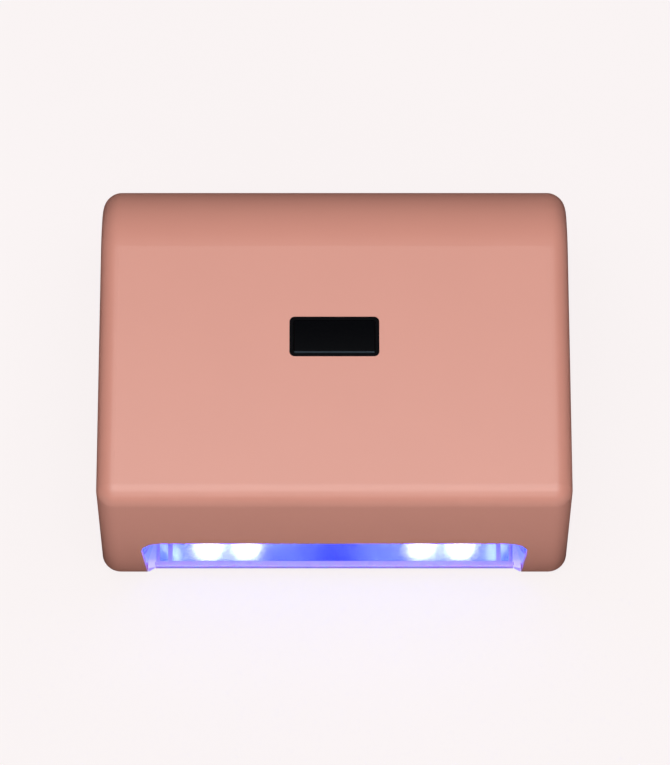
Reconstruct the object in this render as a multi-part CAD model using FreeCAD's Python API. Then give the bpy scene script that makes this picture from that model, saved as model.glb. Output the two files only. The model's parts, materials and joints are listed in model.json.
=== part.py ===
"""A table-top ultraviolet LED nail lamp: a rounded box with a wide hand opening low in its front.

The frame is in millimetres. +X is the lamp's left-to-right width seen from the front, +Y points to its
back, +Z is up, and the origin is on the table under the middle of the lamp. The front face is at -Y.

A pink top shell carries the display, the control board and the rear panel. A white base frame closes it
from below and carries a mirrored canopy over the hand space, with the LED boards on the canopy's back.
A tray with a mirror sheet slides out of the front opening on two rails of the base frame.
"""

import FreeCAD
import Part
import math
import os

V = FreeCAD.Vector

# ---- Driving dimensions -------------------------------------------------------------------------------
WIDTH = 210.0
DEPTH = 167.0
SHELL_HEIGHT = 85.0
FOOT_STAND = 2.0  # how far the feet hold the shell off the table
WALL = 2.5
SIDE_ROUND = 8.5  # radius along both side edges
RIDGE_ROUND = 8.0  # radius of the front top edge
BACK_ROUND = 43.0  # radius of the roll from the top down to the back
BOTTOM_ROUND = 4.0
GAP = 0.2  # assembly clearance between parts that are screwed together
RUNNING = 0.05  # radial clearance of shafts and screws

FRONT = -DEPTH / 2
BACK = DEPTH / 2
SHELL_BOTTOM = FOOT_STAND
SHELL_TOP = SHELL_BOTTOM + SHELL_HEIGHT
HALF_WIDTH = WIDTH / 2
CEILING = SHELL_TOP - WALL  # inside face of the shell's top
REAR_INSIDE = BACK - WALL  # inside face of the shell's back

# Hand opening: half outline in the XZ plane, from the bottom right corner up and in, and its corner radii.
MOUTH_TOP = SHELL_BOTTOM + 35.6
MOUTH_HALF = ((84.3, 0.0), (86.8, MOUTH_TOP - 5.6), (81.2, MOUTH_TOP))
MOUTH_RADII = (9.0, 9.0)
MOUTH_DEPTH = 8.0  # how far back the opening is cut, past the turned-under rim

# Base frame, tray and rails
FRAME_TOP = SHELL_BOTTOM + 4.0
FRAME_INSET = BOTTOM_ROUND + GAP + 0.3  # from the shell's outside to the frame's edge
TRAY_HALF = 80.2
TRAY_BACK = 49.5
TRAY_BOTTOM = SHELL_BOTTOM + 1.6
TRAY_TOP = FRAME_TOP
RAIL_HALF = 77.5  # inner edge of the rails that the tray slides on
RAIL_TOP = TRAY_BOTTOM - GAP
LIP_HALF = 81.0
LIP_FRONT = FRONT + 2.1
LIP_BACK = LIP_FRONT + 2.1
LIP_BOTTOM = SHELL_BOTTOM + 2.0
LIP_ROUND = 1.0
MIRROR_THICK = 0.4
MIRROR_HALF = 73.5  # half width of the tray's main mirror sheet
STRIP_X = (75.1, 79.2)  # the narrow mirror strip on either side, beyond a grooved rib
GROOVE_X = (74.0, 74.6)  # a line cut along that rib

# Canopy: half outlines of its inside at the mouth, along the middle and at the back, and their radii
CANOPY_WALL = 1.8
CANOPY_BOTTOM = FRAME_TOP + GAP
CANOPY_TOP = 58.0
CANOPY_MOUTH = ((84.8, CANOPY_BOTTOM), MOUTH_HALF[1], MOUTH_HALF[2])
CANOPY_MIDDLE = ((80.0, CANOPY_BOTTOM), (79.0, 28.0), (72.0, CANOPY_TOP))
CANOPY_REAR = ((70.0, CANOPY_BOTTOM), (69.0, 22.0), (58.0, 46.0))
CANOPY_RADII = (9.0, 8.0)
CANOPY_FRONT_Y = FRONT + WALL + GAP
CANOPY_MIDDLE_Y = (FRONT + 20.0, 30.0)
CANOPY_REAR_Y = 50.0

# LEDs: places on the canopy's ceiling, and along Y on its two side facets
RIGHT_LEDS = ((40.5, -49.0), (58.5, -49.0), (17.0, -30.0), (47.0, -26.0), (50.0, -3.0), (22.0, 2.0))
CEILING_LEDS = [(s * x, y) for x, y in RIGHT_LEDS for s in (-1, 1)]
SIDE_LEDS_Y = (-40.0, -20.0, 0.0)
LED_BODY_R = 6.0
LED_LENS_R = 5.0
LED_SINK = 0.4  # how far the LED's body stays back from the canopy's inside
LED_LENS_OUT = 2.4  # how far its lens stands into the hand space
LED_HOLE_R = 6.3
BOARD_THICK = 1.6
BOARD_OFF = CANOPY_WALL + GAP  # from the canopy's inside to the board's face

# Display
DISPLAY_Y = FRONT + 79.3
WINDOW_X, WINDOW_Y = 40.0, 19.5
WINDOW_CORNER = 2.4
BEZEL_BAND = 1.6
LENS_RISE = 0.5

# Control board, hung from the shell's ceiling
CONTROL_Z = 72.8
CONTROL_TOP = CONTROL_Z + BOARD_THICK
CONTROL_X = 48.0
CONTROL_Y = (-40.0, 36.0)
CONTROL_POSTS = [(s * 42.0, y) for s in (-1, 1) for y in (-34.0, 30.0)]
PLUG_ROW_Z = 70.0  # height of the leads where they enter the board's connectors

# Screws through the base frame into the shell's bosses
BOSS_PLACES = [(s * 92.5, y) for s in (-1, 1) for y in (-46.0, 4.0, 50.0)]
BOSS_R = 4.0
SCREW_R = 1.4
SCREW_HEAD_R = 2.9
FOOT_R = 6.5
FOOT_PLACES = [(sx * 90.0, sy * 66.0) for sx in (-1, 1) for sy in (-1, 1)]
TAB_PLACES = [(s * 84.5, y) for s in (-1, 1) for y in (-22.0, 27.0)]

# Rear panel: a dish behind the shell's back wall, with the jack, the switch and the button
PANEL_Z = 29.0
RECESS_X, RECESS_Z = 84.0, 26.0
RECESS_CORNER = 4.0
PANEL_RIM = 4.0
PANEL_FLOOR = BACK - 5.0  # outside face of the dish's floor
PANEL_BACK = PANEL_FLOOR - 2.0
PANEL_RIM_Y = REAR_INSIDE - GAP
EAR_X = 50.0
JACK_X = -28.0
JACK_BORE_R = 2.9
JACK_PIN_R = 1.0
BUTTON_X = 28.0
ROCKER_PIVOT_Y = BACK - 7.5
ROCKER_TILT = 8.0  # degrees either side of level; it rests pressed in on one side
VENT_X = [s * (58.0 + 5.0 * i) for s in (-1, 1) for i in range(7)]
LEAD_R = 0.8
LEAD_PITCH = 2.6


# ---- Small helpers ------------------------------------------------------------------------------------
def box(x0, x1, y0, y1, z0, z1):
    """A block between two corners."""
    return Part.makeBox(x1 - x0, y1 - y0, z1 - z0, V(x0, y0, z0))


def rod(radius, start, end):
    """A cylinder from one point to another."""
    start, end = V(*start), V(*end)
    return Part.makeCylinder(radius, (end - start).Length, start, end - start)


def union(shapes):
    """Several overlapping solids as one."""
    first, *rest = shapes
    return first.fuse(rest).removeSplitter() if rest else first


def group(shapes):
    """Separate solids that share one node."""
    return Part.makeCompound(shapes)


def rounded_outline(points, radii):
    """A closed wire through 3-D points that lie in one plane, each corner rounded by its own radius."""
    corners = []
    for i, (p, r) in enumerate(zip(points, radii)):
        before, after = points[i - 1], points[(i + 1) % len(points)]
        a, b = (before - p).normalize(), (after - p).normalize()
        if r <= 0:
            corners.append((p, p, p))
            continue
        half = a.getAngle(b) / 2
        reach = r / math.tan(half)
        middle = (a + b).normalize()
        centre = p + middle * (r / math.sin(half))
        corners.append((p + a * reach, centre - middle * r, p + b * reach))
    edges = []
    for i, (start, mid, end) in enumerate(corners):
        last = corners[i - 1][2]
        if (start - last).Length > 1e-6:
            edges.append(Part.makeLine(last, start))
        if (start - end).Length > 1e-6:
            edges.append(Part.Arc(start, mid, end).toShape())
    return Part.Wire(edges)


def plate(x0, x1, y0, y1, z0, z1, corner):
    """A flat plate with rounded corners in plan."""
    points = [V(x0, y0, z0), V(x1, y0, z0), V(x1, y1, z0), V(x0, y1, z0)]
    return Part.Face(rounded_outline(points, [corner] * 4)).extrude(V(0, 0, z1 - z0))


def upright_plate(x0, x1, z0, z1, y0, y1, corner):
    """A plate that stands across Y, with rounded corners seen from the back."""
    points = [V(x0, y0, z0), V(x1, y0, z0), V(x1, y0, z1), V(x0, y0, z1)]
    return Part.Face(rounded_outline(points, [corner] * 4)).extrude(V(0, y1 - y0, 0))


def arch_wire(half, radii, y):
    """The closed outline, at one Y, of a symmetric arch given by the right half of its corners."""
    (x0, z0), (x1, z1), (x2, z2) = half
    points = [V(-x0, y, z0), V(x0, y, z0), V(x1, y, z1), V(x2, y, z2), V(-x2, y, z2), V(-x1, y, z1)]
    return rounded_outline(points, [0, 0, radii[0], radii[1], radii[1], radii[0]])


def grown(half, by):
    """An arch's half outline moved outwards by a wall's thickness, with its foot left at its height."""
    (x0, z0), (x1, z1), (x2, z2) = half

    def shifted(p, q):
        direction = V(q[0] - p[0], 0, q[1] - p[1]).normalize()
        outward = V(direction.z, 0, -direction.x)
        return V(p[0], 0, p[1]) + outward * by, direction

    low, low_way = shifted((x0, z0), (x1, z1))
    high, high_way = shifted((x1, z1), (x2, z2))
    foot = low + low_way * ((z0 - low.z) / low_way.z)
    cross = low_way.x * high_way.z - low_way.z * high_way.x
    along = ((high.x - low.x) * high_way.z - (high.z - low.z) * high_way.x) / cross
    knee = low + low_way * along
    top = high + high_way * ((z2 + by - high.z) / high_way.z)
    return ((foot.x, foot.z), (knee.x, knee.z), (top.x, top.z))


def loft(wires):
    """A solid skinned straight from wire to wire."""
    return Part.makeLoft(wires, True, True)


def lead(points, radius=LEAD_R):
    """An insulated wire: straight runs joined by arcs nearly as large as the runs allow."""
    points = [V(*p) for p in points]
    edges, last = [], points[0]
    for before, p, after in zip(points, points[1:], points[2:]):
        a, b = (before - p), (after - p)
        half = a.getAngle(b) / 2
        reach = 0.45 * min(a.Length, b.Length)
        a.normalize()
        b.normalize()
        middle = (a + b).normalize()
        bend = reach * math.tan(half)
        centre = p + middle * (bend / math.sin(half))
        edges.append(Part.makeLine(last, p + a * reach))
        edges.append(Part.Arc(p + a * reach, centre - middle * bend, p + b * reach).toShape())
        last = p + b * reach
    edges.append(Part.makeLine(last, points[-1]))
    section = Part.Wire(Part.makeCircle(radius, points[0], points[1] - points[0]))
    return Part.Wire(edges).makePipeShell([section], True, False)


def pan_screw(tip, head, radius, head_radius, head_height):
    """A screw from its tip to the underside of its head, with a rounded head beyond."""
    tip, head = V(*tip), V(*head)
    way = (head - tip).normalize()
    crown = head + way * head_height
    cap = rod(head_radius, head, crown)
    rim = [e for e in cap.Edges if (e.CenterOfMass - crown).Length < 1e-3]
    cap = cap.makeFillet(head_height * 0.45, rim)
    slot = Part.makeBox(head_radius * 1.2, 0.7, head_height * 0.45, V(-head_radius * 0.6, -0.35, 0))
    cross = slot.fuse(slot.rotated(V(0, 0, 0), V(0, 0, 1), 90))
    cross.Placement = FreeCAD.Placement(
        head + way * (head_height * 0.55), FreeCAD.Rotation(V(0, 0, 1), way)
    )
    return rod(radius, tip, head).fuse(cap).cut(cross)


# ---- The shell ----------------------------------------------------------------------------------------
def rounded_body(inset, bottom, bottom_round):
    """The lamp's outer form, or the same form drawn in by an inset, standing on a given height."""
    x = HALF_WIDTH - inset
    front, back, top = FRONT + inset, BACK - inset, SHELL_TOP - inset
    ridge, roll = RIDGE_ROUND - inset, BACK_ROUND - inset
    points = [V(-x, front, bottom), V(-x, front, top), V(-x, back, top), V(-x, back, bottom)]
    body = Part.Face(rounded_outline(points, [0, ridge, roll, 0])).extrude(V(2 * x, 0, 0))
    side_edges = [
        e
        for e in body.Edges
        if e.BoundBox.XLength < 1e-6 and not (e.BoundBox.ZLength < 1e-6 and e.BoundBox.ZMin < bottom + 1e-6)
    ]
    body = body.makeFillet(SIDE_ROUND - inset, side_edges)
    if bottom_round > 0:
        rim = [e for e in body.Edges if e.BoundBox.ZMax < bottom + 1e-6]
        body = body.makeFillet(bottom_round, rim)
    return body


def boss_pillars():
    """Six screw pillars down the shell's sides, each tied to the side wall by a rib."""
    shapes = []
    for x, y in BOSS_PLACES:
        shapes.append(rod(BOSS_R, (x, y, FRAME_TOP + GAP), (x, y, SHELL_TOP)))
        wall = math.copysign(HALF_WIDTH - 1, x)
        shapes.append(box(min(x, wall), max(x, wall), y - 0.8, y + 0.8, FRAME_TOP + 6, SHELL_TOP))
    return shapes


def top_shell():
    outer = rounded_body(0, SHELL_BOTTOM, BOTTOM_ROUND)
    inner = rounded_body(WALL, SHELL_BOTTOM + WALL, BOTTOM_ROUND - WALL)
    inset = BOTTOM_ROUND + GAP
    well = plate(
        -HALF_WIDTH + inset, HALF_WIDTH - inset, FRONT + inset, BACK - inset,
        SHELL_BOTTOM - 1, SHELL_BOTTOM + WALL + 1, SIDE_ROUND - BOTTOM_ROUND + 1,
    )
    mouth = Part.Face(arch_wire(MOUTH_HALF, MOUTH_RADII, FRONT - 1)).extrude(V(0, MOUTH_DEPTH + 1, 0))
    shell = outer.cut(inner).cut([well, mouth])

    posts = [rod(3.5, (x, y, CONTROL_TOP + 0.05), (x, y, SHELL_TOP - 1)) for x, y in CONTROL_POSTS]
    ear_posts = [
        rod(3.2, (s * EAR_X, PANEL_FLOOR + 0.05, PANEL_Z), (s * EAR_X, BACK - 1, PANEL_Z)) for s in (-1, 1)
    ]
    added = group(boss_pillars() + posts + ear_posts).common(outer)
    shell = union([shell] + added.Solids)

    window = plate(
        -WINDOW_X / 2, WINDOW_X / 2, DISPLAY_Y - WINDOW_Y / 2, DISPLAY_Y + WINDOW_Y / 2,
        CEILING - 1, SHELL_TOP + 1, WINDOW_CORNER,
    )
    recess = upright_plate(
        -RECESS_X / 2, RECESS_X / 2, PANEL_Z - RECESS_Z / 2, PANEL_Z + RECESS_Z / 2,
        REAR_INSIDE - 1, BACK + 1, RECESS_CORNER,
    )
    vents = [upright_plate(x - 1.1, x + 1.1, 18, 40, REAR_INSIDE - 1, BACK + 1, 1.05) for x in VENT_X]
    pilot = SCREW_R + RUNNING
    pilots = [rod(pilot, (x, y, FRAME_TOP), (x, y, FRAME_TOP + 16)) for x, y in BOSS_PLACES]
    pilots += [rod(1.15, (x, y, CONTROL_TOP), (x, y, CONTROL_TOP + 8)) for x, y in CONTROL_POSTS]
    pilots += [
        rod(1.15, (s * EAR_X, PANEL_FLOOR, PANEL_Z), (s * EAR_X, BACK - 1, PANEL_Z)) for s in (-1, 1)
    ]
    return shell.cut([window, recess] + vents + pilots)


# ---- Display ------------------------------------------------------------------------------------------
def display_bezel():
    """A black frame glued under the window, flush with the top of the shell."""
    x, y = WINDOW_X / 2 - 0.05, WINDOW_Y / 2 - 0.05
    frame = plate(-x, x, DISPLAY_Y - y, DISPLAY_Y + y, CEILING - 1.2, SHELL_TOP - 0.1, WINDOW_CORNER)
    flange = plate(-x - 2, x + 2, DISPLAY_Y - y - 2, DISPLAY_Y + y + 2, CEILING - 1.2, CEILING - 0.05, 3)
    ix, iy = x - BEZEL_BAND, y - BEZEL_BAND
    hole = plate(-ix, ix, DISPLAY_Y - iy, DISPLAY_Y + iy, CEILING - 2, SHELL_TOP + 1, 1.2)
    return frame.fuse(flange).cut(hole).removeSplitter()


def display_lens():
    """The dark window in the bezel, a little proud, with a chamfer round its top."""
    x, y = WINDOW_X / 2 - BEZEL_BAND - 0.15, WINDOW_Y / 2 - BEZEL_BAND - 0.15
    top = SHELL_TOP + LENS_RISE
    lens = plate(-x, x, DISPLAY_Y - y, DISPLAY_Y + y, CEILING - 0.5, top, 1.0)
    rim = [e for e in lens.Edges if e.BoundBox.ZMin > top - 1e-6]
    return lens.makeChamfer(0.55, rim)


def display_module():
    """A three-digit seven-segment block, with its segments standing a little out of its face."""
    x, y = 16.8, 7.6
    face = CEILING - 1.4
    block = box(-x, x, DISPLAY_Y - y, DISPLAY_Y + y, CONTROL_TOP, face)

    def segment(cx, cy, half_x, half_y):
        cy += DISPLAY_Y
        return box(cx - half_x, cx + half_x, cy - half_y, cy + half_y, face, face + 0.2)

    segments = []
    for digit in (-10.6, 0, 10.6):
        segments += [segment(digit, dy, 2.6, 0.6) for dy in (-5.4, 0, 5.4)]
        segments += [segment(digit + dx, dy, 0.6, 1.9) for dx in (-3.4, 3.4) for dy in (-2.7, 2.7)]
    return union([block] + segments)


# ---- Control board ------------------------------------------------------------------------------------
REAR_PLUGS_X = (JACK_X, 5.0, BUTTON_X)
SIDE_PLUG_Y = -14.0


def control_board():
    board = plate(-CONTROL_X, CONTROL_X, *CONTROL_Y, CONTROL_Z, CONTROL_TOP, 2)
    return board.cut([rod(1.4, (x, y, CONTROL_Z - 1), (x, y, CONTROL_TOP + 1)) for x, y in CONTROL_POSTS])


def control_board_screws():
    return group(
        [
            pan_screw((x, y, CONTROL_TOP + 6), (x, y, CONTROL_Z - 0.02), 1.1, 2.2, 1.5)
            for x, y in CONTROL_POSTS
        ]
    )


def board_chips():
    """The controller, two LED drivers and a regulator, under the board."""
    chips = [(0, 12, 5, 5), (-22, -22, 3, 2.5), (22, -22, 3, 2.5), (-20, 12, 3.3, 3)]
    return group([box(x - a, x + a, y - b, y + b, CONTROL_Z - 1.6, CONTROL_Z) for x, y, a, b in chips])


def driver_inductors():
    coils = []
    for x in (-36, 36):
        coil = plate(x - 5, x + 5, 2, 12, CONTROL_Z - 5, CONTROL_Z, 1.5)
        coils.append(coil)
    return group(coils)


def smoothing_capacitors():
    return group([rod(4, (x, -22, CONTROL_Z), (x, -22, CONTROL_Z - 8.5)) for x in (-36, 36)])


def buzzer():
    body = rod(6, (-34, 6, CONTROL_TOP), (-34, 6, CONTROL_TOP + 7))
    return body.cut(rod(1.2, (-34, 6, CONTROL_TOP + 5), (-34, 6, CONTROL_TOP + 8)))


def plug_sockets():
    """The connectors that the leads push into, under the edges of the control board."""
    z0, z1 = CONTROL_Z - 6, CONTROL_Z
    back, front = CONTROL_Y[1], CONTROL_Y[0]
    shapes = [box(x - 4, x + 4, back - 8, back, z0, z1) for x in REAR_PLUGS_X]
    shapes.append(box(-4, 4, front, front + 8, z0, z1))
    for s in (-1, 1):
        inner, outer = sorted((s * (CONTROL_X - 8), s * CONTROL_X))
        shapes.append(box(inner, outer, SIDE_PLUG_Y - 4, SIDE_PLUG_Y + 4, z0, z1))
    return group(shapes)


# ---- Canopy and LEDs ----------------------------------------------------------------------------------
def side_frame(s):
    """Where a side facet's LEDs stand: a placement that carries the ceiling's local frame to the facet.

    In the local frame the canopy's inside is at z = 0 and the board lies above it.
    """
    (x1, z1), (x2, z2) = CANOPY_MIDDLE[1], CANOPY_MIDDLE[2]
    lean = math.degrees(math.atan2(z2 - z1, x1 - x2))
    middle = V(s * (x1 + x2) / 2, 0, (z1 + z2) / 2)
    return FreeCAD.Placement(middle, FreeCAD.Rotation(V(0, 1, 0), s * lean))


def placed(shape, placement):
    moved = shape.copy()
    moved.transformShape(placement.toMatrix())
    return moved


def led_body(x, y, z):
    """A round LED package, from the board's face down towards the canopy's inside."""
    return rod(LED_BODY_R, (x, y, z + BOARD_OFF), (x, y, z + LED_SINK))


def led_lens(x, y, z):
    """The clear dome of an LED, part of a ball that just covers its radius and height."""
    height = LED_LENS_OUT + LED_SINK
    ball_r = (LED_LENS_R**2 + height**2) / (2 * height)
    base = z + LED_SINK
    ball = Part.makeSphere(ball_r, V(x, y, base - height + ball_r))
    return ball.common(box(x - 9, x + 9, y - 9, y + 9, base - height - 1, base))


def led_hole(x, y, z):
    return rod(LED_HOLE_R, (x, y, z - 1), (x, y, z + CANOPY_WALL + 1))


def ceiling_stack(make):
    return [make(x, y, CANOPY_TOP) for x, y in CEILING_LEDS]


def side_stack(make, s):
    return [placed(make(0, y, 0), side_frame(s)) for y in SIDE_LEDS_Y]


SENSOR_Y = -60.0
SENSOR_X = (-5.5, 5.5)


def reflector_canopy():
    """A thin mirrored vault over the hand, open below and at the mouth, closed at the back."""
    stations = [
        (CANOPY_FRONT_Y, CANOPY_MOUTH, MOUTH_RADII),
        (CANOPY_MIDDLE_Y[0], CANOPY_MIDDLE, CANOPY_RADII),
        (CANOPY_MIDDLE_Y[1], CANOPY_MIDDLE, CANOPY_RADII),
        (CANOPY_REAR_Y, CANOPY_REAR, CANOPY_RADII),
    ]
    hollow, solid = [], []
    for y, half, radii in stations:
        foot = ((half[0][0], half[0][1] - 1), half[1], half[2])
        hollow.append(arch_wire(foot, radii, y))
        solid.append(arch_wire(grown(half, CANOPY_WALL), [r + CANOPY_WALL for r in radii], y))
    back = Part.Face(solid[-1]).extrude(V(0, CANOPY_WALL, 0))
    start = Part.Face(hollow[0]).extrude(V(0, -1, 0))
    canopy = loft(solid).fuse(back).cut([loft(hollow), start])

    tabs = []
    for x, y in TAB_PLACES:
        inner, outer = sorted((math.copysign(81.0, x), x + math.copysign(3.2, x)))
        tabs.append(box(inner, outer, y - 4, y + 4, CANOPY_BOTTOM, CANOPY_BOTTOM + 2))
    canopy = union([canopy] + tabs)
    holes = ceiling_stack(led_hole) + side_stack(led_hole, 1) + side_stack(led_hole, -1)
    holes += [rod(2.7, (x, SENSOR_Y, CANOPY_TOP - 1), (x, SENSOR_Y, CANOPY_TOP + 3)) for x in SENSOR_X]
    holes += [rod(1.3, (x, y, FRAME_TOP), (x, y, CANOPY_BOTTOM + 3)) for x, y in TAB_PLACES]
    holes += [board_screw_hole(x, y, CANOPY_TOP) for x, y in CEILING_SCREWS]
    holes += [placed(board_screw_hole(0, y, 0), side_frame(s)) for s in (-1, 1) for y in SIDE_SCREWS_Y]
    return canopy.cut(holes)


def canopy_screws():
    return group(
        [
            pan_screw((x, y, FRAME_TOP - 3), (x, y, CANOPY_BOTTOM + 2.02), 1.1, 2.2, 1.5)
            for x, y in TAB_PLACES
        ]
    )


CEILING_BOARD = (-65.0, 65.0, -56.4, 14.0)
CEILING_SCREWS = [(s * x, y) for x, y in ((49.5, -49.0), (36.0, 8.0)) for s in (-1, 1)]
SIDE_BOARD = (-9.0, 9.0, -56.0, 8.0)
SIDE_SCREWS_Y = (-30.0, -10.0)


def board_screw(x, y, z):
    """A short screw through an LED board into the canopy's wall."""
    return pan_screw(
        (x, y, z + 0.3), (x, y, z + BOARD_OFF + BOARD_THICK + 0.02), 0.9, 1.8, 1.2
    )


def board_screw_hole(x, y, z):
    return rod(0.95, (x, y, z + 0.2), (x, y, z + BOARD_OFF + BOARD_THICK + 1))


def ceiling_led_board():
    x0, x1, y0, y1 = CEILING_BOARD
    z = CANOPY_TOP + BOARD_OFF
    board = plate(x0, x1, y0, y1, z, z + BOARD_THICK, 3)
    return board.cut([board_screw_hole(x, y, CANOPY_TOP) for x, y in CEILING_SCREWS])


def side_led_board(s):
    x0, x1, y0, y1 = SIDE_BOARD
    board = plate(x0, x1, y0, y1, BOARD_OFF, BOARD_OFF + BOARD_THICK, 2)
    return placed(board.cut([board_screw_hole(0, y, 0) for y in SIDE_SCREWS_Y]), side_frame(s))


def led_board_screws():
    screws = [board_screw(x, y, CANOPY_TOP) for x, y in CEILING_SCREWS]
    screws += [placed(board_screw(0, y, 0), side_frame(s)) for s in (-1, 1) for y in SIDE_SCREWS_Y]
    return screws


def hand_sensor_board():
    z = CANOPY_TOP + BOARD_OFF
    return plate(-12, 12, SENSOR_Y - 3.2, SENSOR_Y + 3.2, z, z + BOARD_THICK, 1)


def hand_sensor_eyes():
    """The infrared sender and receiver that look down at the hand."""
    eyes = []
    for x in SENSOR_X:
        eye = rod(2.5, (x, SENSOR_Y, CANOPY_TOP + BOARD_OFF), (x, SENSOR_Y, CANOPY_TOP - 0.8))
        rim = [e for e in eye.Edges if e.BoundBox.ZMax < CANOPY_TOP - 0.7]
        eyes.append(eye.makeFillet(0.9, rim))
    return group(eyes)


# ---- Base frame, feet and tray ------------------------------------------------------------------------
MAGNET_R = 4.0
MAGNET_PLACES = [(s * 55.0, TRAY_BACK + 7.0) for s in (-1, 1)]
STEEL_PLACES = [(s * 55.0, TRAY_BACK - 8.0) for s in (-1, 1)]
FRAME_INNER = TRAY_HALF + 0.4
FRAME_BACK_BAR = TRAY_BACK + 0.5


def mouth_toe(s):
    """A corner piece that runs outwards and down from the lip's end to the shell."""
    inner, outer = LIP_HALF + 0.3, MOUTH_HALF[0][0] - 0.05
    front, back = FRONT + 1.3, FRONT + FRAME_INSET + 1
    plan = [(inner, LIP_FRONT), (outer, front), (outer, back), (inner, back)]
    rise = [(inner, LIP_BOTTOM), (outer, SHELL_BOTTOM), (outer, FRAME_TOP), (inner, FRAME_TOP)]
    plan_points = [V(s * x, y, SHELL_BOTTOM) for x, y in plan]
    rise_points = [V(s * x, front, z) for x, z in rise]
    upright = Part.Face(rounded_outline(plan_points, [0] * 4)).extrude(V(0, 0, FRAME_TOP - SHELL_BOTTOM))
    level = Part.Face(rounded_outline(rise_points, [0] * 4)).extrude(V(0, back - front, 0))
    return upright.common(level)


def base_frame():
    """A white U-shaped frame: two arms with rails for the tray, joined behind it."""
    x, y0, y1 = HALF_WIDTH - FRAME_INSET, FRONT + FRAME_INSET, BACK - FRAME_INSET
    frame = plate(-x, x, y0, y1, SHELL_BOTTOM, FRAME_TOP, SIDE_ROUND - BOTTOM_ROUND)
    tray_way = box(-FRAME_INNER, FRAME_INNER, FRONT - 1, FRAME_BACK_BAR, RAIL_TOP, FRAME_TOP + 1)
    under = box(-RAIL_HALF, RAIL_HALF, FRONT - 1, FRAME_BACK_BAR - 3, SHELL_BOTTOM - 1, FRAME_TOP + 1)
    lip_room = LIP_HALF + 0.3
    lip_way = box(-lip_room, lip_room, FRONT - 1, LIP_BACK + 0.3, SHELL_BOTTOM - 1, FRAME_TOP + 1)
    frame = frame.cut([tray_way, under, lip_way])
    frame = union([frame, mouth_toe(-1), mouth_toe(1)])
    cuts = []
    for px, py in FOOT_PLACES:
        cuts.append(rod(FOOT_R + 0.1, (px, py, SHELL_BOTTOM - 1), (px, py, SHELL_BOTTOM + 1)))
    for px, py in BOSS_PLACES:
        cuts.append(rod(SCREW_R + 0.2, (px, py, SHELL_BOTTOM - 1), (px, py, FRAME_TOP + 1)))
        cuts.append(rod(SCREW_HEAD_R + 0.4, (px, py, SHELL_BOTTOM - 1), (px, py, SHELL_BOTTOM + 2.2)))
    for px, py in TAB_PLACES:
        cuts.append(rod(1.15, (px, py, FRAME_TOP - 3.2), (px, py, FRAME_TOP + 1)))
    for px, py in MAGNET_PLACES:
        cuts.append(rod(MAGNET_R + RUNNING, (px, py, FRAME_TOP - 3), (px, py, FRAME_TOP + 1)))
    return frame.cut(cuts)


def base_screws():
    return group(
        [
            pan_screw((x, y, FRAME_TOP + 12), (x, y, SHELL_BOTTOM + 2.18), SCREW_R, SCREW_HEAD_R, 1.9)
            for x, y in BOSS_PLACES
        ]
    )


def rubber_feet():
    feet = []
    for x, y in FOOT_PLACES:
        foot = rod(FOOT_R, (x, y, 0), (x, y, SHELL_BOTTOM + 0.98))
        feet.append(foot.makeFillet(0.6, [e for e in foot.Edges if e.BoundBox.ZMax < 1e-6]))
    return group(feet)


def frame_magnets():
    return group([rod(MAGNET_R, (x, y, FRAME_TOP - 2.98), (x, y, FRAME_TOP)) for x, y in MAGNET_PLACES])


MIRROR_FLOOR = TRAY_TOP - MIRROR_THICK - 0.1
MIRROR_BANDS = [(-MIRROR_HALF, MIRROR_HALF)] + [sorted((s * STRIP_X[0], s * STRIP_X[1])) for s in (-1, 1)]


def mirror_slab(x0, x1, inset, top):
    """The room of one band of mirror, or with an inset the band itself."""
    left, right = sorted((x0, x1))
    return box(
        left + inset, right - inset, LIP_BACK + 0.6 + inset, TRAY_BACK - 4 - inset, MIRROR_FLOOR, top
    )


def tray_plate():
    """The sliding floor of the hand space: a flat plate with a slightly wider lip along its front."""
    flat = box(-TRAY_HALF, TRAY_HALF, LIP_BACK - 1, TRAY_BACK, TRAY_BOTTOM, TRAY_TOP)
    corners = [e for e in flat.Edges if e.BoundBox.ZLength > 1 and e.BoundBox.YMin > TRAY_BACK - 1e-6]
    flat = flat.makeFillet(4, corners)
    lip = box(-LIP_HALF, LIP_HALF, LIP_FRONT, LIP_BACK, LIP_BOTTOM, TRAY_TOP)
    tops = [e for e in lip.Edges if e.BoundBox.ZMin > TRAY_TOP - 1e-6]
    front_top = [e for e in tops if e.BoundBox.YMax < LIP_FRONT + 1e-6]
    lip = lip.makeFillet(LIP_ROUND, front_top)
    pockets = [mirror_slab(x0, x1, 0.0, TRAY_TOP + 1) for x0, x1 in MIRROR_BANDS]
    grooves = [mirror_slab(s * GROOVE_X[0], s * GROOVE_X[1], 0.0, TRAY_TOP + 1) for s in (-1, 1)]
    seats = [rod(4.05, (x, y, TRAY_BOTTOM - 1), (x, y, TRAY_BOTTOM + 1.2)) for x, y in STEEL_PLACES]
    return union([flat, lip]).cut(pockets + grooves + seats)


def tray_mirror():
    """The polished sheet laid in the tray and the narrow strip on either side of it."""
    return group([mirror_slab(x0, x1, 0.2, MIRROR_FLOOR + MIRROR_THICK) for x0, x1 in MIRROR_BANDS])


def tray_steel_discs():
    return group(
        [rod(4.0, (x, y, TRAY_BOTTOM), (x, y, TRAY_BOTTOM + 1.2)) for x, y in STEEL_PLACES]
    )


# ---- Rear panel, jack, switch and button --------------------------------------------------------------
BUTTON_POSTS = (BUTTON_X - 9.0, BUTTON_X + 9.0)
BUTTON_BOARD_Y = PANEL_BACK - 11.1
ROCKER_CUT = (9.6, 6.6)  # half sizes of the hole that the switch clips into


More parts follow.
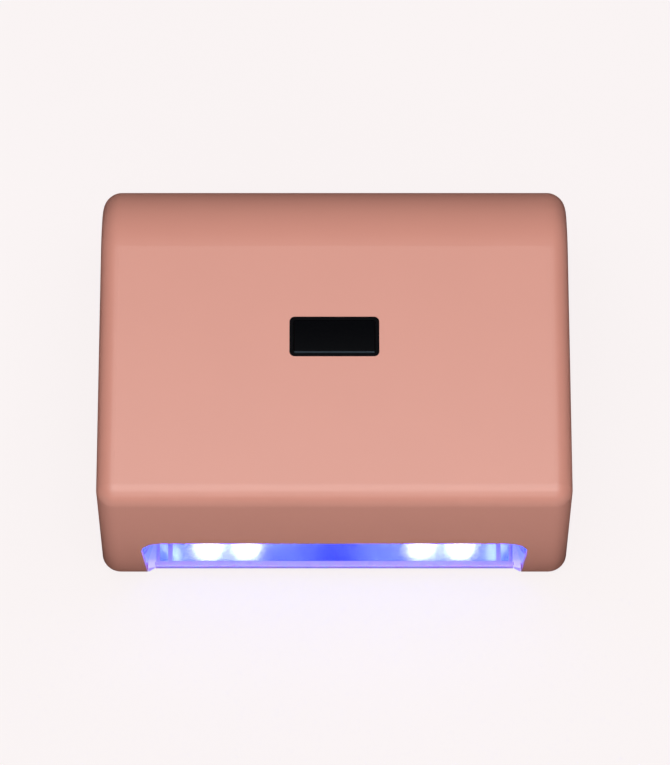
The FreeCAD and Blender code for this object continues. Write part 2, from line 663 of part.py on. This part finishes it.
def rear_panel():
    x, z = RECESS_X / 2 + PANEL_RIM, RECESS_Z / 2 + PANEL_RIM
    dish = upright_plate(-x, x, PANEL_Z - z, PANEL_Z + z, PANEL_BACK, PANEL_RIM_Y, RECESS_CORNER + 2)
    pocket = upright_plate(
        -RECESS_X / 2, RECESS_X / 2, PANEL_Z - RECESS_Z / 2, PANEL_Z + RECESS_Z / 2,
        PANEL_FLOOR, PANEL_RIM_Y + 1, RECESS_CORNER,
    )
    ears = upright_plate(-EAR_X - 4.5, EAR_X + 4.5, PANEL_Z - 5, PANEL_Z + 5, PANEL_BACK, PANEL_FLOOR, 4)
    board_back = BUTTON_BOARD_Y + BOARD_THICK
    posts = [rod(2.2, (px, PANEL_BACK + 0.5, PANEL_Z), (px, board_back, PANEL_Z)) for px in BUTTON_POSTS]
    panel = union([dish.cut(pocket), ears] + posts)
    through = PANEL_BACK - 1, PANEL_FLOOR + 1
    cuts = [
        rod(4.0, (JACK_X, through[0], PANEL_Z), (JACK_X, through[1], PANEL_Z)),
        rod(4.5, (BUTTON_X, through[0], PANEL_Z), (BUTTON_X, through[1], PANEL_Z)),
        box(-ROCKER_CUT[0], ROCKER_CUT[0], *through, PANEL_Z - ROCKER_CUT[1], PANEL_Z + ROCKER_CUT[1]),
    ]
    cuts += [rod(1.3, (s * EAR_X, through[0], PANEL_Z), (s * EAR_X, through[1], PANEL_Z)) for s in (-1, 1)]
    cuts += [rod(0.95, (px, BUTTON_BOARD_Y, PANEL_Z), (px, PANEL_BACK - 3, PANEL_Z)) for px in BUTTON_POSTS]
    return panel.cut(cuts)


def rear_panel_screws():
    tip, head = PANEL_FLOOR + 3.5, PANEL_BACK - 0.02
    ears = (-EAR_X, EAR_X)
    return group([pan_screw((x, tip, PANEL_Z), (x, head, PANEL_Z), 1.1, 2.2, 1.5) for x in ears])


JACK_DEPTH = 10.0  # from the mouth of the jack to the floor of its bore
JACK_END = PANEL_BACK - 14.0


def dc_jack_housing():
    x, z = JACK_X, PANEL_Z
    body = box(x - 4.5, x + 4.5, JACK_END, PANEL_BACK, z - 5.5, z + 5.5)
    nose = rod(3.9, (x, PANEL_BACK - 1, z), (x, PANEL_FLOOR, z))
    bore = rod(JACK_BORE_R, (x, PANEL_FLOOR - JACK_DEPTH, z), (x, PANEL_FLOOR + 1, z))
    seat = rod(1.6, (x, JACK_END + 1, z), (x, PANEL_FLOOR - JACK_DEPTH + 1, z))
    return body.fuse(nose).removeSplitter().cut([bore, seat])


def dc_jack_pin():
    """The centre contact: a pin in the bore, with a thicker root in the housing."""
    x, z = JACK_X, PANEL_Z
    floor = PANEL_FLOOR - JACK_DEPTH
    root = rod(1.55, (x, JACK_END + 1.05, z), (x, floor, z))
    pin = rod(JACK_PIN_R, (x, floor - 0.5, z), (x, PANEL_FLOOR - 0.8, z))
    return root.fuse(pin).removeSplitter()


SWITCH_END = PANEL_BACK - 12.5
ROCKER_ROOM = (8.4, 5.4)  # half sizes of the well that the rocker tips in
PIVOT_R = 1.2


def power_switch_housing():
    """The clip-in body of the switch: a bezel, a well for the rocker and two bearings for its pivot."""
    x, z = ROCKER_CUT[0] - 0.1, ROCKER_CUT[1] - 0.1
    body = box(-x, x, SWITCH_END, PANEL_FLOOR, PANEL_Z - z, PANEL_Z + z)
    bezel = upright_plate(
        -x - 1, x + 1, PANEL_Z - z - 1, PANEL_Z + z + 1, PANEL_FLOOR + 0.02, PANEL_FLOOR + 1.4, 1
    )
    neck = box(-x, x, PANEL_FLOOR - 1, PANEL_FLOOR + 1, PANEL_Z - z, PANEL_Z + z)
    wx, wz = ROCKER_ROOM
    well = box(-wx, wx, ROCKER_PIVOT_Y - 5, BACK, PANEL_Z - wz, PANEL_Z + wz)
    bearing = rod(
        PIVOT_R + RUNNING, (0, ROCKER_PIVOT_Y, PANEL_Z - 6.2), (0, ROCKER_PIVOT_Y, PANEL_Z + 6.2)
    )
    return union([body, neck, bezel]).cut([well, bearing])


def power_switch_terminals():
    y = SWITCH_END
    return group([box(x - 0.4, x + 0.4, y - 6, y, PANEL_Z - 2.4, PANEL_Z + 2.4) for x in (-5, 5)])


def power_rocker():
    """The rocker, tipped to its pressed-in side: a shallow V on top and a round hub on its pivot."""
    z0, z1 = PANEL_Z - 5.2, PANEL_Z + 5.2
    outline = [(-7.5, 5.6), (0, 4.3), (7.5, 5.6), (6.6, 0.5), (3.0, -3.2), (-3.0, -3.2), (-6.6, 0.5)]
    points = [V(u, v, z0) for u, v in outline]
    body = Part.Face(rounded_outline(points, [0.7, 5, 0.7, 1, 1, 1, 1])).extrude(V(0, 0, z1 - z0))
    pivot = rod(PIVOT_R, (0, 0, PANEL_Z - 6.1), (0, 0, PANEL_Z + 6.1))
    rocker = body.fuse(pivot).removeSplitter()
    rocker.rotate(V(0, 0, 0), V(0, 0, 1), ROCKER_TILT)
    rocker.translate(V(0, ROCKER_PIVOT_Y, 0))
    return rocker


BUTTON_FLANGE_Y = PANEL_BACK - 0.1
PLUNGER_START = BUTTON_BOARD_Y + 6.6


def timer_button():
    """A round push button: a cap through the panel, a flange behind it and a stem to the switch."""
    x, z = BUTTON_X, PANEL_Z
    cap = rod(4.4, (x, BUTTON_FLANGE_Y - 0.5, z), (x, PANEL_FLOOR + 2.4, z))
    rim = [e for e in cap.Edges if e.BoundBox.YMin > PANEL_FLOOR + 2.3]
    cap = cap.makeFillet(0.9, rim)
    flange = rod(5.6, (x, BUTTON_FLANGE_Y - 1.5, z), (x, BUTTON_FLANGE_Y, z))
    stem = rod(1.9, (x, PLUNGER_START, z), (x, BUTTON_FLANGE_Y - 1, z))
    return union([cap, flange, stem])


def tact_plunger():
    return rod(1.7, (BUTTON_X, PLUNGER_START - 3.0, PANEL_Z), (BUTTON_X, PLUNGER_START, PANEL_Z))


def tact_switch():
    x, z = BUTTON_X, PANEL_Z
    y0 = BUTTON_BOARD_Y + BOARD_THICK
    body = box(x - 3, x + 3, y0, y0 + 3.5, z - 3, z + 3)
    return body.cut(rod(1.7 + RUNNING, (x, y0 + 0.5, z), (x, y0 + 5, z)))


def button_board():
    board = upright_plate(
        BUTTON_X - 12, BUTTON_X + 12, PANEL_Z - 7, PANEL_Z + 7,
        BUTTON_BOARD_Y, BUTTON_BOARD_Y + BOARD_THICK, 1,
    )
    y0, y1 = BUTTON_BOARD_Y - 1, BUTTON_BOARD_Y + BOARD_THICK + 1
    return board.cut([rod(1.1, (x, y0, PANEL_Z), (x, y1, PANEL_Z)) for x in BUTTON_POSTS])


def button_board_screws():
    return group(
        [
            pan_screw((x, BUTTON_BOARD_Y + 6, PANEL_Z), (x, BUTTON_BOARD_Y - 0.02, PANEL_Z), 0.9, 1.8, 1.2)
            for x in BUTTON_POSTS
        ]
    )


# ---- Leads --------------------------------------------------------------------------------------------
def rear_leads():
    """Leads from the jack, the switch and the button board up to the control board, and one across."""
    half = LEAD_PITCH / 2
    starts = [(JACK_X + d, JACK_END + 3, PANEL_Z + 5.55) for d in (-half, half)]
    starts += [(5.0, SWITCH_END - 3, PANEL_Z + 2.45)]
    starts += [(BUTTON_X + d, BUTTON_BOARD_Y + BOARD_THICK / 2, PANEL_Z + 7.05) for d in (-half, half)]
    leads = []
    for x, y, z in starts:
        leads.append(lead([(x, y, z), (x, y, PLUG_ROW_Z), (x, CONTROL_Y[1] + 0.05, PLUG_ROW_Z)]))
    x, y, z = JACK_X + 2, SWITCH_END - 3, PANEL_Z - 2
    leads.append(lead([(x, JACK_END - 0.05, z), (x, y, z), (-5.45, y, z)]))
    return group(leads)


def side_led_leads():
    """A pair of leads to each side LED board, out over the canopy's shoulder and in to the board's back."""
    leads = []
    above = BOARD_OFF + BOARD_THICK + 0.05
    for s in (-1, 1):
        for d in (-LEAD_PITCH / 2, LEAD_PITCH / 2):
            y = SIDE_PLUG_Y + d
            end = side_frame(s).multVec(V(-s * 5, y - 4, above))
            near = side_frame(s).multVec(V(-s * 5, y - 4, above + 9))
            start = (s * (CONTROL_X + 0.05), y, PLUG_ROW_Z)
            leads.append(lead([start, (near.x, y, PLUG_ROW_Z), tuple(near), tuple(end)]))
    return group(leads)


def ceiling_led_leads():
    z = CANOPY_TOP + BOARD_OFF + BOARD_THICK
    places = [(s * 10.0 + d, -24.0) for s in (-1, 1) for d in (-LEAD_PITCH / 2, LEAD_PITCH / 2)]
    return group([rod(LEAD_R, (x, y, z + 0.05), (x, y, CONTROL_Z - 0.05)) for x, y in places])


def sensor_leads():
    z = CANOPY_TOP + BOARD_OFF + BOARD_THICK
    return group(
        [
            lead([(x, SENSOR_Y, z + 0.05), (x, SENSOR_Y, PLUG_ROW_Z), (x, CONTROL_Y[0] - 0.05, PLUG_ROW_Z)])
            for x in (-LEAD_PITCH / 2, LEAD_PITCH / 2)
        ]
    )


# ---- All the nodes ------------------------------------------------------------------------------------
def nodes():
    return {
        "top_shell": top_shell(),
        "display_bezel": display_bezel(),
        "display_lens": display_lens(),
        "display_module": display_module(),
        "control_board": control_board(),
        "control_board_screws": control_board_screws(),
        "board_chips": board_chips(),
        "driver_inductors": driver_inductors(),
        "smoothing_capacitors": smoothing_capacitors(),
        "buzzer": buzzer(),
        "plug_sockets": plug_sockets(),
        "reflector_canopy": reflector_canopy(),
        "canopy_screws": canopy_screws(),
        "ceiling_led_board": ceiling_led_board(),
        "ceiling_led_bodies": group(ceiling_stack(led_body)),
        "ceiling_led_lenses": group(ceiling_stack(led_lens)),
        "left_led_board": side_led_board(-1),
        "left_led_bodies": group(side_stack(led_body, -1)),
        "left_led_lenses": group(side_stack(led_lens, -1)),
        "right_led_board": side_led_board(1),
        "right_led_bodies": group(side_stack(led_body, 1)),
        "right_led_lenses": group(side_stack(led_lens, 1)),
        "led_board_screws": group(led_board_screws()),
        "hand_sensor_board": hand_sensor_board(),
        "hand_sensor_eyes": hand_sensor_eyes(),
        "base_frame": base_frame(),
        "base_screws": base_screws(),
        "rubber_feet": rubber_feet(),
        "frame_magnets": frame_magnets(),
        "tray_plate": tray_plate(),
        "tray_mirror": tray_mirror(),
        "tray_steel_discs": tray_steel_discs(),
        "rear_panel": rear_panel(),
        "rear_panel_screws": rear_panel_screws(),
        "dc_jack_housing": dc_jack_housing(),
        "dc_jack_pin": dc_jack_pin(),
        "power_switch_housing": power_switch_housing(),
        "power_switch_terminals": power_switch_terminals(),
        "power_rocker": power_rocker(),
        "timer_button": timer_button(),
        "tact_plunger": tact_plunger(),
        "tact_switch": tact_switch(),
        "button_board": button_board(),
        "button_board_screws": button_board_screws(),
        "rear_leads": rear_leads(),
        "side_led_leads": side_led_leads(),
        "ceiling_led_leads": ceiling_led_leads(),
        "sensor_leads": sensor_leads(),
    }


def main():
    os.makedirs("parts", exist_ok=True)
    for name, shape in nodes().items():
        shape.exportStep(f"parts/{name}.step")
        print(f"{name}: {len(shape.Solids)} solid(s), {shape.Volume:.0f} mm3, valid {shape.isValid()}")


main()
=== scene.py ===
"""Looks of the UV LED nail lamp: a material for every CAD node, the floor, the lights and the camera.

Lengths are in metres. The lamp stands on the floor at Z = 0 with its hand opening facing -Y.
"""

import json
import math

import bpy
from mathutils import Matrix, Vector

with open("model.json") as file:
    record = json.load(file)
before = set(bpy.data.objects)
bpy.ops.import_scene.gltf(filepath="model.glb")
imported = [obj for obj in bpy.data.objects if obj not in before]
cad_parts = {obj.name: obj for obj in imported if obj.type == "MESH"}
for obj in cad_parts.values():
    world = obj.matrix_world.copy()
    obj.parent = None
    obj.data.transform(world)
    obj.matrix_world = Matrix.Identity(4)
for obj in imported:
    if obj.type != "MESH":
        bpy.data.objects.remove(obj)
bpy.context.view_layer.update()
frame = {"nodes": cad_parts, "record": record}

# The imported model's plain materials make way for the ones below
for packed_material in list(bpy.data.materials):
    bpy.data.materials.remove(packed_material)

# ---- Camera, floor and light -------------------------------------------------------------------------
VIEW_ELEVATION = math.radians(65.5)
VIEW_DISTANCE = 2.377
VIEW_TARGET = Vector((0.0, -0.00735, 0.0445))
LENS_MM = 247.6
LENS_SHIFT = 0.0008  # sideways, as a share of the image's longer side
FAR_CLIP = 30.0

FLOOR_HALF = 6.0
FLOOR_COLOR = (0.956, 0.905, 0.905)
FLOOR_GLOW = 0.942
FLOOR_SHARE = 0.07  # how much of the floor's brightness comes from the lights
PAPER_SCALE = 4.0  # of the faint clouds in the floor and the cards

SKY_STRENGTH = 0.083  # straight overhead
LIT_POINT = Vector((0.0, 0.0, 0.05))  # what the soft boxes face
# Elevation in degrees from the front, distance, size across and deep, watts
SOFT_BOXES = {
    "overhead_box": (86.0, 1.5, (2.0, 1.6), 27.1),
    "front_box": (40.0, 1.8, (1.6, 0.6), 4.7),
}
CARD_NEAR = 0.1035  # the near cards start 20 mm from the lamp's front and back
CARD_FAR = 0.1635  # and give way to the wide ones 80 mm from them
# Reach in X, reach in Y, strength
BOUNCE_CARDS = {
    "front_card": ((-3.0, 3.0), (-3.0, -CARD_FAR), 1.31),
    "near_card": ((-0.3, 0.3), (-CARD_FAR, -CARD_NEAR), 0.90),
    "back_card": ((-3.0, 3.0), (CARD_FAR, 3.0), 0.12),
    "near_back_card": ((-0.3, 0.3), (CARD_NEAR, CARD_FAR), 1.40),
}
CARD_STEP = 0.0002  # each card lies this much above the one before, all just under the floor

# ---- Colours, linear ---------------------------------------------------------------------------------
BLACK = (0.0, 0.0, 0.0)
WHITE = (1.0, 1.0, 1.0)
PINK = (0.70, 0.306, 0.240)
SMOKED = (0.002, 0.0022, 0.003)
# painted highlight: the display window's front-facing chamfer, coloured greyer for the light it catches
PAINTED_CHAMFER_HIGHLIGHT = (0.035, 0.048, 0.062)
FILM = ((0.62, 0.76, 0.88), (0.72, 0.85, 0.95))  # darkest and lightest
SHEET = ((0.74, 0.79, 0.92), (0.84, 0.88, 0.95))  # darkest and lightest

# ---- Surface detail: noise scales in cells per metre, depths in metres -------------------------------
CLOUD_SCALE = 60.0  # of the drift in a moulding's colour
HAZE_SCALE = 140.0  # and in its gloss
GLOSS_DRIFT = 0.04
SHELL_ROUGHNESS = (0.28, 0.33)
PEEL_SCALE = 900.0
PEEL_DEPTH = 0.000006
TRACK_SCALE = 260.0
TRACK_DEPTH = 0.00003
LINE_SCALE = 1800.0
LINE_DEPTH = 0.00001
LINE_GLOSS = 0.08
# How the lines run: the smaller the number, the longer they are along that axis
LINES_X = (0.05, 1.0, 1.0)
SHORT_LINES_X = (0.2, 1.0, 1.0)
LINES_Y = (1.0, 0.05, 1.0)
LINES_Z = (1.0, 1.0, 0.03)

# ---- Light from the lamp itself, and painted glows standing in for it on the tray and the frame ------
LED_BLUE = (0.115, 0.12, 1.0)
LED_STRENGTH = 60.0
PAINTED_TRAY_GLOW = (0.05, 0.02, 0.60)  # painted glow over the frosted tray, standing in for the LEDs' light on it
PAINTED_CORNER_GLOW = (0.20, 0.13, 0.80)  # painted glow on the frame's two corner pieces in the mouth, standing in for the LEDs' light on them
PAINTED_CORNER_GLOW_Y = (-0.0795, -0.0770)  # full in front of the first, gone behind the second


# ---- Node helpers ------------------------------------------------------------------------------------
def new_material(name, color, roughness, **sockets):
    """A material with one Principled shader, and the tree and shader to add detail to."""
    material = bpy.data.materials.new(name)
    material.use_nodes = True
    tree = material.node_tree
    shader = tree.nodes["Principled BSDF"]
    shader.inputs["Base Color"].default_value = (*color, 1.0)
    shader.inputs["Roughness"].default_value = roughness
    for socket, value in sockets.items():
        shader.inputs[socket.replace("_", " ")].default_value = value
    return material, tree, shader


def noise(tree, scale, detail=3.0, stretch=(1.0, 1.0, 1.0)):
    """A noise value over the object's own coordinates; a stretch below 1 draws it out along that axis."""
    place = tree.nodes.new("ShaderNodeTexCoord")
    mapping = tree.nodes.new("ShaderNodeMapping")
    mapping.inputs["Scale"].default_value = stretch
    texture = tree.nodes.new("ShaderNodeTexNoise")
    texture.inputs["Scale"].default_value = scale
    texture.inputs["Detail"].default_value = detail
    tree.links.new(place.outputs["Object"], mapping.inputs["Vector"])
    tree.links.new(mapping.outputs["Vector"], texture.inputs["Vector"])
    return texture.outputs["Fac"]


def spread(tree, value, low, high, start=0.3, end=0.7):
    """The value's range from start to end, stretched to run from low to high."""
    node = tree.nodes.new("ShaderNodeMapRange")
    node.inputs["From Min"].default_value = start
    node.inputs["From Max"].default_value = end
    node.inputs["To Min"].default_value = low
    node.inputs["To Max"].default_value = high
    tree.links.new(value, node.inputs["Value"])
    return node.outputs["Result"]


def blend_colors(tree, factor, first, second):
    """A colour that goes from the first to the second with the factor."""
    node = tree.nodes.new("ShaderNodeMix")
    node.data_type = "RGBA"
    for socket, color in (("A", first), ("B", second)):
        found = [i for i in node.inputs if i.name == socket and i.type == "RGBA"][0]
        found.default_value = (*color, 1.0)
    tree.links.new(factor, node.inputs["Factor"])
    return [o for o in node.outputs if o.type == "RGBA"][0]


def tint(tree, shader, factor, first, second):
    tree.links.new(blend_colors(tree, factor, first, second), shader.inputs["Base Color"])


def glow(material, factor, first, second, strength=1.0):
    """Light given off, in a colour that goes from the first to the second with the factor."""
    tree = material.node_tree
    shader = tree.nodes["Principled BSDF"]
    tree.links.new(blend_colors(tree, factor, first, second), shader.inputs["Emission Color"])
    shader.inputs["Emission Strength"].default_value = strength


def component(tree, coordinate, axis):
    """One axis of a texture coordinate."""
    place = tree.nodes.new("ShaderNodeTexCoord")
    axes = tree.nodes.new("ShaderNodeSeparateXYZ")
    tree.links.new(place.outputs[coordinate], axes.inputs["Vector"])
    return axes.outputs[axis]


def bump(tree, shader, height, depth, strength=1.0):
    """A relief of the given depth in metres."""
    node = tree.nodes.new("ShaderNodeBump")
    node.inputs["Strength"].default_value = strength
    node.inputs["Distance"].default_value = depth
    tree.links.new(height, node.inputs["Height"])
    tree.links.new(node.outputs["Normal"], shader.inputs["Normal"])


def scaled(color, by):
    return tuple(c * by for c in color)


# ---- Materials ---------------------------------------------------------------------------------------
def moulded(name, color, roughness, grain=0.00002, scale=2500.0, shade=0.94, **sockets):
    """Moulded plastic, rubber or solder mask: a fine grain, and a colour and gloss that drift a little."""
    material, tree, shader = new_material(name, color, roughness, **sockets)
    tint(tree, shader, spread(tree, noise(tree, CLOUD_SCALE), 0.0, 1.0), scaled(color, shade), color)
    drift = spread(tree, noise(tree, HAZE_SCALE), roughness - GLOSS_DRIFT, roughness + GLOSS_DRIFT)
    tree.links.new(drift, shader.inputs["Roughness"])
    bump(tree, shader, noise(tree, scale, detail=4.0), grain)
    return material


def brushed(name, color, roughness, stretch):
    """Metal with fine lines along one axis."""
    material, tree, shader = new_material(name, color, roughness, Metallic=1.0)
    lines = noise(tree, LINE_SCALE, stretch=stretch)
    tint(tree, shader, spread(tree, lines, 0.0, 1.0), scaled(color, 0.8), color)
    gloss = spread(tree, lines, roughness - LINE_GLOSS, roughness + LINE_GLOSS)
    tree.links.new(gloss, shader.inputs["Roughness"])
    bump(tree, shader, lines, LINE_DEPTH)
    return material


def circuit_board(name, mask, track):
    """Solder mask over copper tracks, which show as lighter lines in a square maze."""
    material, tree, shader = new_material(name, mask, 0.32, Coat_Weight=0.3)
    place = tree.nodes.new("ShaderNodeTexCoord")
    cells = tree.nodes.new("ShaderNodeTexVoronoi")
    cells.distance = "CHEBYCHEV"
    cells.feature = "F2"
    cells.inputs["Scale"].default_value = TRACK_SCALE
    tree.links.new(place.outputs["Object"], cells.inputs["Vector"])
    lines = spread(tree, cells.outputs["Distance"], 0.0, 1.0, start=0.62, end=0.66)
    tint(tree, shader, lines, mask, track)
    bump(tree, shader, lines, TRACK_DEPTH)
    return material


def shell_paint():
    """Satin lacquer with a very fine orange peel."""
    material, tree, shader = new_material("shell_pink", PINK, 0.30, Specular_IOR_Level=0.65)
    tint(tree, shader, spread(tree, noise(tree, 25.0), 0.0, 1.0), scaled(PINK, 0.985), PINK)
    tree.links.new(spread(tree, noise(tree, 400.0), *SHELL_ROUGHNESS), shader.inputs["Roughness"])
    bump(tree, shader, noise(tree, PEEL_SCALE, detail=2.0), PEEL_DEPTH)
    return material


def mirror(name, colors, roughness, cloud_scale, haze_scale, dent_scale, dent_depth):
    """A metallised surface between two colours, hazy in patches, with long soft dents."""
    material, tree, shader = new_material(name, colors[1], roughness[0], Metallic=1.0)
    tint(tree, shader, spread(tree, noise(tree, cloud_scale), 0.0, 1.0), *colors)
    tree.links.new(spread(tree, noise(tree, haze_scale), *roughness), shader.inputs["Roughness"])
    bump(tree, shader, noise(tree, dent_scale, detail=2.0), dent_depth, strength=0.5)
    return material


def tray_frosted():
    """Frosted plastic that spreads the light falling on it; its lilac tint and a painted violet glow stand
    in for the LEDs' light on it.
    """
    # painted light: the lilac tint stands in for the LEDs' violet light on the tray
    material = moulded(
        "tray_frosted", (0.64, 0.52, 0.78), 0.30, grain=0.00001, scale=1400.0, shade=0.97,
        Subsurface_Weight=0.6, Subsurface_Scale=0.008, Coat_Weight=0.4, Coat_Roughness=0.08,
    )
    tree = material.node_tree
    patches = spread(tree, noise(tree, 120.0), 0.0, 1.0)
    # painted light: a patchy violet glow, though the tray is no lamp
    glow(material, patches, scaled(PAINTED_TRAY_GLOW, 0.8), PAINTED_TRAY_GLOW)
    return material


def led_lens():
    """A clear silicone dome, full of light."""
    material, tree, _ = new_material("led_lens", (0.8, 0.8, 0.9), 0.15, Coat_Weight=0.5)
    mottle = spread(tree, noise(tree, 500.0), 0.0, 1.0)
    glow(material, mottle, scaled(LED_BLUE, 0.8), LED_BLUE, LED_STRENGTH)
    return material


def display_glass():
    """Smoked acrylic: a polished black top, with the chamfer along its front painted greyer as a painted
    highlight.
    """
    material, tree, shader = new_material("display_window", SMOKED, 0.06, Specular_IOR_Level=0.02)
    tree.links.new(spread(tree, noise(tree, 1200.0), 0.04, 0.10), shader.inputs["Roughness"])
    painted_highlight_mask = spread(tree, component(tree, "Normal", "Y"), 1.0, 0.0, start=-0.6, end=-0.4)
    # painted highlight: faces turned to the front are tinted greyer
    tint(tree, shader, painted_highlight_mask, SMOKED, PAINTED_CHAMFER_HIGHLIGHT)
    return material


def white_plastic():
    """Glossy white ABS; its two corner pieces in the mouth carry a painted glow standing in for the LEDs'
    light on them.
    """
    material = moulded(
        "frame_white", (0.80, 0.79, 0.80), 0.30, grain=0.000008, scale=1200.0, shade=0.97,
        Subsurface_Weight=0.25, Subsurface_Scale=0.004, Coat_Weight=0.2,
    )
    tree = material.node_tree
    # painted light: the corner pieces near the mouth glow as if lit by the LEDs
    painted_glow_mask = spread(tree, component(tree, "Object", "Y"), 1.0, 0.0, *PAINTED_CORNER_GLOW_Y)
    glow(material, painted_glow_mask, BLACK, PAINTED_CORNER_GLOW)
    return material


def make_materials():
    """One material for each of the record's slots."""
    made = [
        shell_paint(),
        moulded("display_black", (0.003, 0.003, 0.004), 0.25, grain=0.00001, Specular_IOR_Level=0.02),
        display_glass(),
        moulded("display_block", (0.02, 0.02, 0.022), 0.5),
        circuit_board("board_green", (0.012, 0.13, 0.04), (0.03, 0.24, 0.08)),
        circuit_board("board_white", (0.80, 0.80, 0.78), (0.66, 0.66, 0.62)),
        moulded("chip_black", (0.015, 0.015, 0.017), 0.55),
        moulded("ferrite_grey", (0.05, 0.05, 0.055), 0.7, grain=0.00006),
        brushed("can_aluminium", (0.75, 0.76, 0.78), 0.3, LINES_Z),
        moulded("connector_cream", (0.72, 0.68, 0.55), 0.45),
        mirror(
            "reflector", FILM, (0.07, 0.16),
            cloud_scale=90.0, haze_scale=700.0, dent_scale=55.0, dent_depth=0.0006,
        ),
        mirror(
            "tray_sheet", SHEET, (0.14, 0.22),
            cloud_scale=70.0, haze_scale=500.0, dent_scale=35.0, dent_depth=0.0004,
        ),
        tray_frosted(),
        moulded("led_body", (0.85, 0.85, 0.83), 0.5, grain=0.00001),
        led_lens(),
        moulded("sensor_eye", (0.012, 0.006, 0.02), 0.12, grain=0.000002, Coat_Weight=0.6),
        white_plastic(),
        brushed("screw_steel", (0.55, 0.55, 0.57), 0.34, LINES_X),
        moulded("rubber_black", (0.03, 0.03, 0.03), 0.75, grain=0.00005, scale=1500.0, shade=0.8),
        brushed("magnet_nickel", (0.75, 0.74, 0.70), 0.18, SHORT_LINES_X),
        brushed("disc_steel", (0.60, 0.60, 0.60), 0.32, LINES_X),
        moulded("panel_black", (0.042, 0.042, 0.044), 0.48, grain=0.00005, scale=1600.0, shade=0.85),
        moulded("jack_black", (0.022, 0.022, 0.023), 0.42),
        brushed("contact_metal", (0.78, 0.72, 0.55), 0.22, LINES_Y),
        moulded("rocker_black", (0.034, 0.034, 0.036), 0.22, grain=0.000006, Coat_Weight=0.4),
        moulded("button_grey", (0.14, 0.14, 0.145), 0.42),
        moulded("lead_red", (0.55, 0.02, 0.02), 0.40),
        moulded("lead_black", (0.02, 0.02, 0.02), 0.40),
    ]
    return {material.name: material for material in made}


def dress_nodes(materials):
    """Give each CAD node the material of its slot."""
    for part in frame["record"]["subparts"]:
        mesh = frame["nodes"][part["node"]].data
        mesh.materials.clear()
        mesh.materials.append(materials[part["material_slot"]])


# ---- Floor, light and camera -------------------------------------------------------------------------
def stage_sheet(name, across, along, height):
    """A flat rectangle of the stage, given its reach in X, its reach in Y and its height."""
    corners = [(across[i], along[j], height) for i, j in ((0, 0), (1, 0), (1, 1), (0, 1))]
    mesh = bpy.data.meshes.new(name)
    mesh.from_pydata(corners, [], [(0, 1, 2, 3)])
    staged = bpy.data.objects.new(name, mesh)
    bpy.context.scene.collection.objects.link(staged)
    return staged


def make_floor():
    """A pale light table that hides its own light from the lamp."""
    reach = (-FLOOR_HALF, FLOOR_HALF)
    table = stage_sheet("floor", reach, reach, 0.0)
    material, tree, shader = new_material("floor_paper", FLOOR_COLOR, 0.9, Specular_IOR_Level=0.0)
    paper = spread(tree, noise(tree, PAPER_SCALE), 0.0, 1.0)
    tint(tree, shader, paper, scaled(FLOOR_COLOR, FLOOR_SHARE * 0.98), scaled(FLOOR_COLOR, FLOOR_SHARE))
    glow(material, paper, scaled(FLOOR_COLOR, 0.99), FLOOR_COLOR, FLOOR_GLOW)
    table.data.materials.append(material)
    table.visible_diffuse = False
    table.visible_glossy = False
    table.visible_shadow = False


def make_bounce_cards():
    """Pale cards, unseen by the camera, that throw soft light up at the lamp's front and back."""
    for step, (name, (across, along, strength)) in enumerate(BOUNCE_CARDS.items()):
        card = stage_sheet(name, across, along, (step - len(BOUNCE_CARDS)) * CARD_STEP)
        material, tree, _ = new_material(name, BLACK, 0.9, Specular_IOR_Level=0.0)
        paper = spread(tree, noise(tree, PAPER_SCALE), 0.0, 1.0)
        glow(material, paper, scaled(WHITE, 0.98), WHITE, strength)
        card.data.materials.append(material)
        card.visible_camera = False
        card.visible_glossy = False


def make_surround():
    """A dim sky that fades out at the horizon."""
    world = bpy.data.worlds.new("surround")
    world.use_nodes = True
    tree = world.node_tree
    background = tree.nodes["Background"]
    fade = spread(tree, component(tree, "Generated", "Z"), 0.0, SKY_STRENGTH, start=0.0, end=1.0)
    tree.links.new(fade, background.inputs["Strength"])
    background.inputs["Color"].default_value = (*WHITE, 1.0)
    bpy.context.scene.world = world


def from_front(elevation):
    """The direction out from the lamp towards its front, raised by the elevation in radians."""
    return Vector((0.0, -math.cos(elevation), math.sin(elevation)))


def make_lights():
    """Soft boxes on an arc over the lamp."""
    for name, (elevation, distance, (across, deep), watts) in SOFT_BOXES.items():
        light = bpy.data.lights.new(name, "AREA")
        light.shape = "RECTANGLE"
        light.size = across
        light.size_y = deep
        light.energy = watts
        away = from_front(math.radians(elevation))
        holder = bpy.data.objects.new(name, light)
        holder.location = LIT_POINT + away * distance
        holder.rotation_euler = (-away).to_track_quat("-Z", "Y").to_euler()
        bpy.context.scene.collection.objects.link(holder)


def make_camera():
    camera = bpy.data.cameras.new("camera")
    camera.lens = LENS_MM
    camera.shift_x = LENS_SHIFT
    camera.clip_end = FAR_CLIP
    away = from_front(VIEW_ELEVATION)
    holder = bpy.data.objects.new("camera", camera)
    holder.location = VIEW_TARGET + away * VIEW_DISTANCE
    holder.rotation_euler = (-away).to_track_quat("-Z", "Y").to_euler()
    bpy.context.scene.collection.objects.link(holder)
    bpy.context.scene.camera = holder
    bpy.context.scene.view_settings.view_transform = "Standard"


# ---- Build -------------------------------------------------------------------------------------------
make_camera()
make_surround()
make_lights()
make_floor()
make_bounce_cards()
dress_nodes(make_materials())
